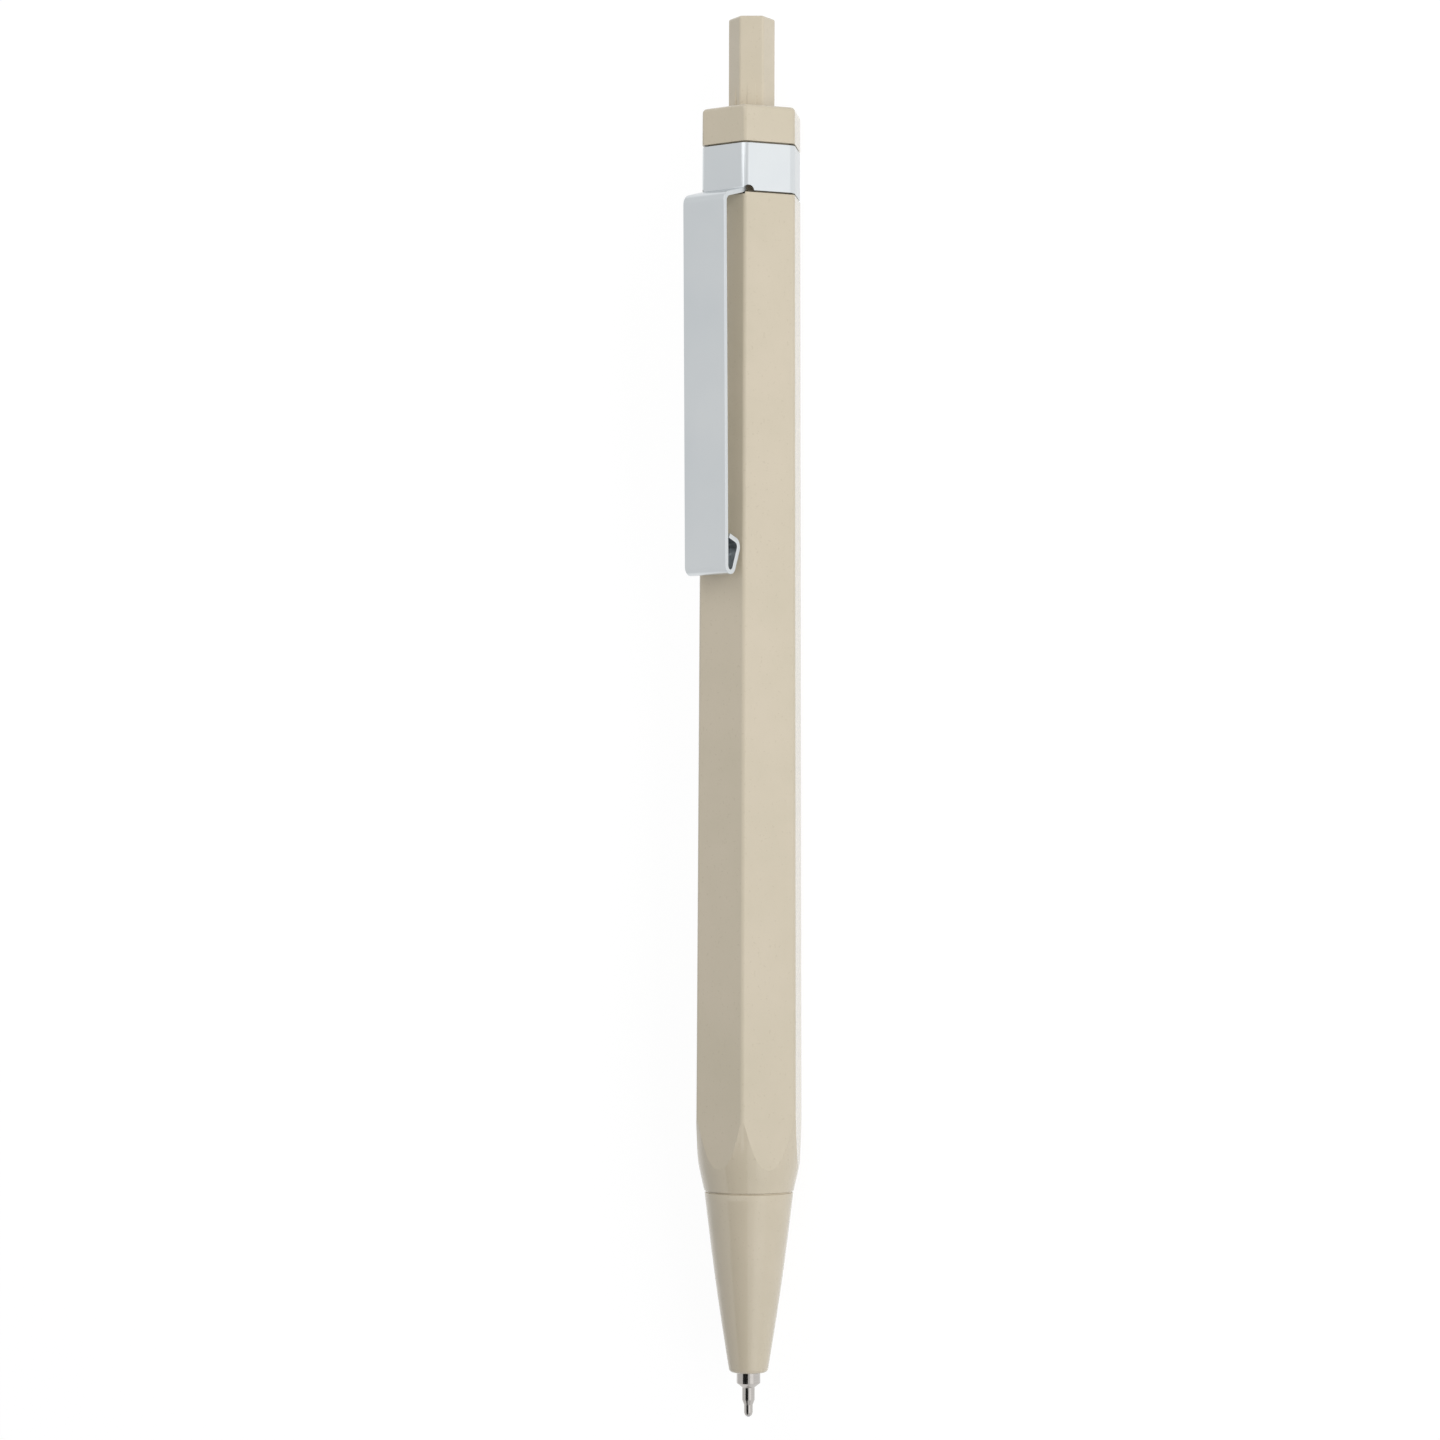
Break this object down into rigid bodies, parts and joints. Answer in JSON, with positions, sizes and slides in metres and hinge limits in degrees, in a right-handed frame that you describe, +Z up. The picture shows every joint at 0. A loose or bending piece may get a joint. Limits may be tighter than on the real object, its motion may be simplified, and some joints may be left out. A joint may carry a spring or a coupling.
{
  "type": "retractable ballpoint pen",
  "caption": "Click-action ballpoint pen with a hexagonal barrel, conical nose and sheet-metal clip; its push button slides the refill out and back through a turning cam.",
  "frame": {"origin": "middle of the pen's length and width, on the surface that the pen lies on", "axes": "+X along the pen from the point to the button, +Z up through the clip, +Y across"},
  "size_m": [0.14, 0.0114, 0.0129],
  "materials": {
    "shell_plastic": "matte beige moulded plastic with a fine speckle",
    "clip_metal": "satin nickel-plated spring steel",
    "mechanism_plastic": "natural white acetal",
    "spring_steel": "drawn spring wire",
    "tube_plastic": "translucent extruded tube",
    "point_metal": "turned nickel silver",
    "ball_metal": "ground carbide ball",
    "ink": "thick blue ink",
    "follower_grease": "clear pale grease"
  },
  "bodies": {
    "casing": {"barrel": "shell_plastic", "nose_cone": "shell_plastic", "top_cap": "shell_plastic", "clip_band": "clip_metal", "cam_guide": "mechanism_plastic", "return_spring": "spring_steel"},
    "clip": {"clip_arm": "clip_metal"},
    "button": {"push_button": "shell_plastic", "plunger": "mechanism_plastic"},
    "refill": {"refill_tube": "tube_plastic", "spring_collar": "mechanism_plastic", "point_body": "point_metal", "writing_ball": "ball_metal", "ink_column": "ink", "grease_plug": "follower_grease", "tail_plug": "mechanism_plastic"},
    "rotor": {"rotor": "mechanism_plastic"}
  },
  "joints": [
    {"name": "button_slide", "type": "slide", "parent": "casing", "child": "button", "axis": [1, 0, 0], "range_m": [-0.0012, 0.0055], "stiffness_N_per_m": 200},
    {"name": "refill_slide", "type": "slide", "parent": "casing", "child": "refill", "axis": [1, 0, 0], "range_m": [-0.0012, 0.0055], "deforming": ["return_spring"]},
    {"name": "rotor_turn", "type": "hinge", "parent": "refill", "child": "rotor", "pos_m": [0.03605, 0, 0.00499], "axis": [1, 0, 0], "range_deg": [-10, 45.5]},
    {"name": "clip_flex", "type": "hinge", "parent": "casing", "child": "clip", "pos_m": [0.0506, 0, 0.01182], "axis": [0, 1, 0], "range_deg": [0, 3], "stiffness_Nm_per_rad": 3.5}
  ],
  "couplings": [
    {"joint": "refill_slide", "follows": "button_slide", "ratio": 1},
    {"joint": "rotor_turn", "follows": "button_slide", "rad_per_m": 142.8}
  ]
}
